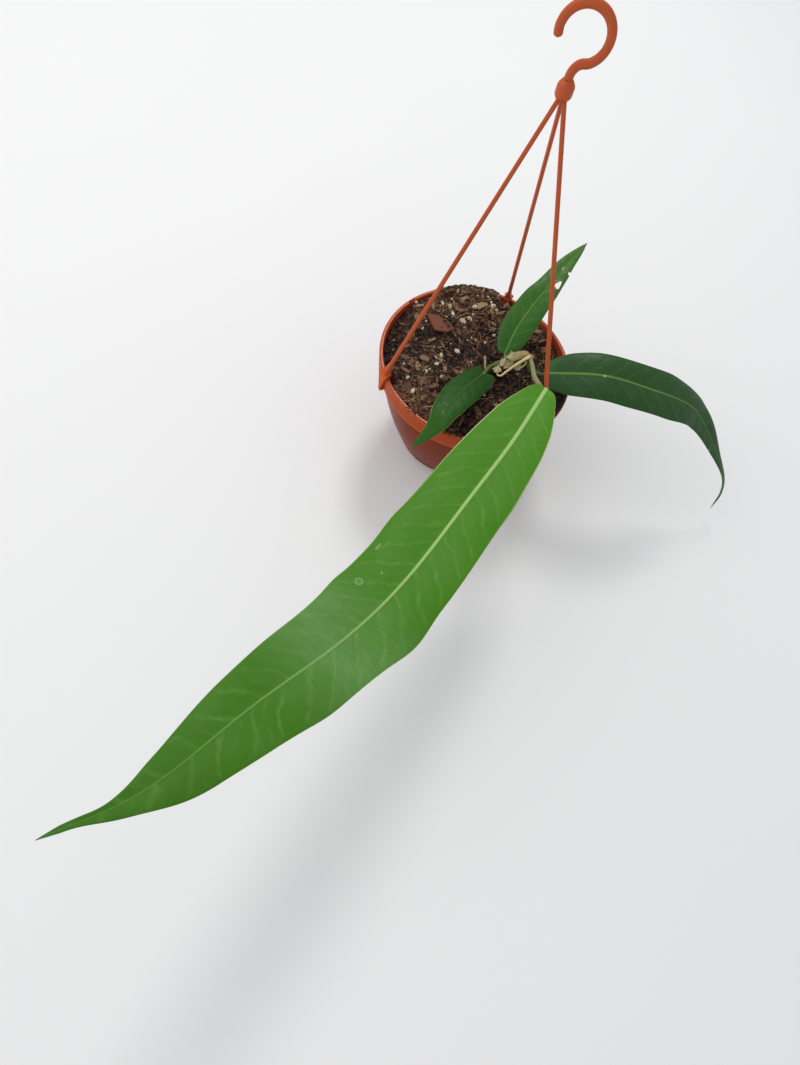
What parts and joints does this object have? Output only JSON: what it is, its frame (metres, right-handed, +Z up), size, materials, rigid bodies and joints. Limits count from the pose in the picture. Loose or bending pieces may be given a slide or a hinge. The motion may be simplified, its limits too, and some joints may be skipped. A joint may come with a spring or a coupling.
{
  "type": "potted anthurium",
  "caption": "Young strap-leaf anthurium in a tapered hanging pot of soil, with a clip-on hanger whose slim arms rise from the rim to a hub and an open hook.",
  "frame": {"origin": "centre of the pot's flat underside", "axes": "+Z up through the pot, -Y towards the tip of the long leaf, +X towards the drooping right leaf"},
  "size_m": [0.3355, 0.4744, 0.3264],
  "materials": {
    "pot": "glossy terracotta-coloured plastic",
    "hanger": "glossy terracotta-coloured plastic",
    "soil": "loose dark bark and coir with pale grains",
    "stem": "dull green stem",
    "dry_sheaths": "dry papery sheaths",
    "leaf_long": "satin fresh green leaf",
    "leaf_right": "satin dark green leaf",
    "leaf_back": "satin green leaf",
    "leaf_low": "satin dark green leaf"
  },
  "bodies": {
    "root": {"pot": "pot", "hanger": "hanger", "soil": "soil", "stem": "stem", "dry_sheaths": "dry_sheaths", "leaf_long": "leaf_long", "leaf_right": "leaf_right", "leaf_back": "leaf_back", "leaf_low": "leaf_low"}
  },
  "joints": []
}
